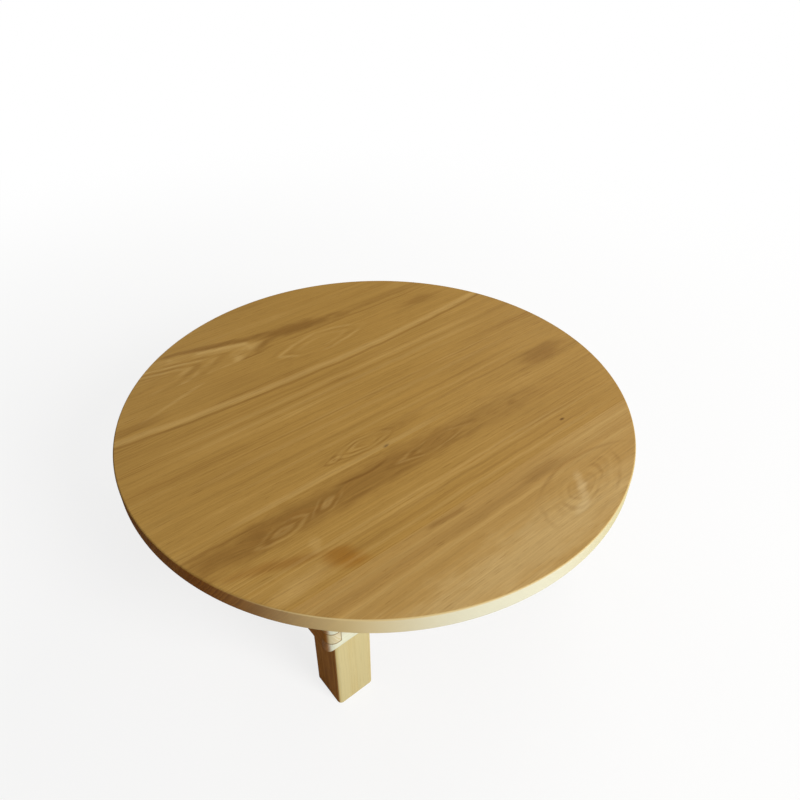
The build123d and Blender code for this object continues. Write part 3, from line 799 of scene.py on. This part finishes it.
def makeApron(side):
    node, across = f"apron_{side}", side in ("left", "right")
    low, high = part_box(node)
    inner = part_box("apron_rear")[0].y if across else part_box("apron_right")[0].x
    thickness = high.x - low.x if across else high.y - low.y
    board = apronBlank(2 * inner, thickness, low.z, high.z, 1 if across else 0)
    turn = {"front": 0, "right": 90, "rear": 180, "left": 270}[side]
    middle = (low + high) / 2
    place = Matrix.Translation((middle.x, middle.y, 0)) @ Matrix.Rotation(math.radians(turn), 4, "Z")
    bmesh.ops.transform(board, verts=board.verts[:], space=Matrix.Identity(4), matrix=place)
    bmesh.ops.recalc_face_normals(board, faces=board.faces[:])
    data = bpy.data.meshes.new(camelCase(node))
    board.to_mesh(data)
    board.free()
    cutter = bmesh.new()
    if across:
        cutSockets(cutter, side)
    else:
        cutBores(cutter, side, low, high)
    kind = "short apron" if across else "long apron"
    pitch = (high.z - low.z) / apronLook["fingers"]
    joint = {"Reach": 1000 * inner, "Low": 1000 * low.z, "Pitch": 1000 * pitch,
             "Fingers": float(apronLook["fingers"]), "First": 1.0 if across else 0.0}
    look = {**woods[kind], "seed": apronLook["firstSeed"] + apronLook["seedStep"] * turn / 90,
            "joint": joint, "jointStrength": apronLook["jointStrength"]}
    material = ashMaterial(f"Ash {kind} {side}", look)
    finishPiece(camelCase(node), carve(data, cutter), material, "table", node,
                finishing["easedEdge"])


for side in ("front", "right", "rear", "left"):
    makeApron(side)
print("aprons made")


# Legs and fold work keep the solids' shapes, with their edges eased

seedLook = {"first": 71.0, "step": 5.3}
plainPieces = [    # node, wood, grain axis, body, slot
    ("batten_left", "stay", "y", "table", "battens"), ("batten_right", "stay", "y", "table", "battens"),
]
for number in (1, 2, 3):
    for side in ("left", "right"):
        plainPieces.append((f"button_{side}_{number}", "rail", "x", "table", "buttons"))
for side in ("left", "right"):
    pair = f"leg_pair_{side}"
    for end in ("front", "rear"):
        plainPieces.append((f"leg_{end}_{side}", "leg", "z", pair, "legs"))
        plainPieces.append((f"pivot_peg_{end}_{side}", "peg", "y", "table", "pegs"))
    plainPieces.append((f"leg_rail_{side}", "rail", "y", pair, "rails"))
    plainPieces.append((f"stay_{side}", "stay", "x", f"stay_{side}", "stays"))
    plainPieces.append((f"stay_dowel_{side}", "peg", "y", pair, "pegs"))
    plainPieces.append((f"rail_pins_{side}", "peg", "x", pair, "pegs"))
for number, (node, kind, axis, body, slotName) in enumerate(plainPieces):
    look = {**woods[kind], "axis": axis, "seed": seedLook["first"] + seedLook["step"] * number}
    edgeWidth = 0.0 if slotName == "pegs" else finishing["easedEdge"]
    material = ashMaterial(f"Ash {kind} {number}", look)
    dressedCopy(node, camelCase(node), material, body, edgeWidth)
print("legs and fold work made")


# Brass screws keep the solids' shapes

brassLook = {"bright": tint(196, 158, 86), "dull": tint(140, 104, 52), "spots": 900.0,
             "smoothest": 0.26, "roughest": 0.48, "bump": 0.1, "bumpDepth": 0.0001}


def brassMaterial():
    material, tree = newMaterial("Brushed brass")
    place = addNode(tree, "ShaderNodeTexCoord").outputs
    tarnish = noise(tree, place["Object"], brassLook["spots"], 4.0, 0.6)
    colour = mixColour(tree, remap(tree, tarnish, 0.4, 0.7), brassLook["bright"], brassLook["dull"])
    roughness = remap(tree, tarnish, 0.3, 0.7, brassLook["smoothest"], brassLook["roughest"])
    bump = addNode(tree, "ShaderNodeBump", None,
                   {"Height": tarnish, "Strength": brassLook["bump"], "Distance": brassLook["bumpDepth"]})
    finishMaterial(tree, {"Base Color": colour, "Metallic": 1.0, "Roughness": roughness,
                          "Normal": bump.outputs[0]})
    return material


brass = brassMaterial()
for node in ("batten_screws", "button_screws", "apron_screws"):
    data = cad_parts[node].data
    data.materials.clear()
    data.materials.append(brass)
print("screws finished")


# Floor, lamps and camera

stageLook = {"floorSize": 60.0, "floorTone": 0.78, "glow": 0.8, "whiteFrom": 0.9, "whiteTo": 2.6,
             "worldStrength": 0.16}
warmWhite, warmerWhite = (1.0, 0.99, 0.96), (1.0, 0.98, 0.95)
lampLooks = {    # a lamp's bearing from +X and its rise are in degrees, seen from the middle of the top
    "key": {"bearing": -82.0, "rise": 31.0, "distance": 4.5, "size": 2.0, "power": 218.0,
            "colour": warmWhite},
    "back": {"bearing": 85.0, "rise": 14.0, "distance": 4.5, "size": 2.0, "power": 60.0,
             "colour": warmWhite},
    "fill": {"bearing": 20.0, "rise": 32.0, "distance": 3.5, "size": 2.4, "power": 57.0,
             "colour": warmerWhite},
}
cameraLook = {"eye": (-0.567697, -0.752731, 1.055519), "aim": (0.032937, -0.024883, 0.310), "roll": 0.6067,
              "lens": 30.075, "sensor": 36.0}


def makeFloor():
    plane = bmesh.new()
    bmesh.ops.create_grid(plane, x_segments=1, y_segments=1, size=stageLook["floorSize"] / 2)
    data = bpy.data.meshes.new("floor")
    plane.to_mesh(data)
    plane.free()
    floor = bpy.data.objects.new("floor", data)
    bpy.context.scene.collection.objects.link(floor)
    material, tree = newMaterial("Pale floor")
    tone = stageLook["floorTone"]
    plain = addNode(tree, "ShaderNodeBsdfDiffuse", None, {"Color": (tone, tone, tone, 1.0)})
    white = addNode(tree, "ShaderNodeEmission", None, {"Color": (1.0, 1.0, 1.0, 1.0), "Strength": 1.0})
    seen = addNode(tree, "ShaderNodeLightPath").outputs["Is Camera Ray"]
    place = addNode(tree, "ShaderNodeTexCoord").outputs["Object"]
    away = addNode(tree, "ShaderNodeVectorMath", {"operation": "LENGTH"}, {0: place}).outputs["Value"]
    glow = remap(tree, away, stageLook["whiteFrom"], stageLook["whiteTo"], stageLook["glow"], 1.0)
    share = calc(tree, "MULTIPLY", seen, glow)
    both = addNode(tree, "ShaderNodeMixShader", None, {0: share, 1: plain.outputs[0], 2: white.outputs[0]})
    addNode(tree, "ShaderNodeOutputMaterial", None, {"Surface": both.outputs[0]})
    data.materials.append(material)


def makeWorld():
    world = bpy.data.worlds.new("Studio")
    bpy.context.scene.world = world
    world.use_nodes = True
    tree = world.node_tree
    tree.nodes.clear()
    path = addNode(tree, "ShaderNodeLightPath").outputs
    mirrored = calc(tree, "MAXIMUM", path["Is Glossy Ray"], path["Is Transmission Ray"])
    seen = calc(tree, "MAXIMUM", path["Is Camera Ray"], mirrored)
    strength = calc(tree, "ADD", stageLook["worldStrength"],
                    calc(tree, "MULTIPLY", seen, 1.0 - stageLook["worldStrength"]))
    light = addNode(tree, "ShaderNodeBackground", None, {"Color": (1.0, 1.0, 1.0, 1.0), "Strength": strength})
    addNode(tree, "ShaderNodeOutputWorld", None, {"Surface": light.outputs[0]})


def makeLamp(name, look):
    lamp = bpy.data.lights.new(name, "AREA")
    lamp.shape = "DISK"
    lamp.size = look["size"]
    lamp.energy = look["power"]
    lamp.color = look["colour"]
    holder = bpy.data.objects.new(name, lamp)
    bpy.context.scene.collection.objects.link(holder)
    bearing, rise = math.radians(look["bearing"]), math.radians(look["rise"])
    towards = Vector((math.cos(rise) * math.cos(bearing), math.cos(rise) * math.sin(bearing), math.sin(rise)))
    target = Vector((0, 0, cadBounds[1][2]))
    holder.location = target + towards * look["distance"]
    holder.rotation_euler = (-towards).to_track_quat("-Z", "Y").to_euler()


def makeCamera():
    lens = bpy.data.cameras.new("camera")
    lens.lens = cameraLook["lens"]
    lens.sensor_width = cameraLook["sensor"]
    holder = bpy.data.objects.new("camera", lens)
    bpy.context.scene.collection.objects.link(holder)
    eye, aim = Vector(cameraLook["eye"]), Vector(cameraLook["aim"])
    level = (aim - eye).to_track_quat("-Z", "Y").to_matrix().to_4x4()
    roll = Matrix.Rotation(math.radians(cameraLook["roll"]), 4, "Z")
    holder.matrix_world = Matrix.Translation(eye) @ level @ roll
    bpy.context.scene.camera = holder


makeFloor()
makeWorld()
for name, look in lampLooks.items():
    makeLamp(name, look)
makeCamera()
bpy.context.scene.view_settings.view_transform = "Standard"
print("stage, lamps and camera made")
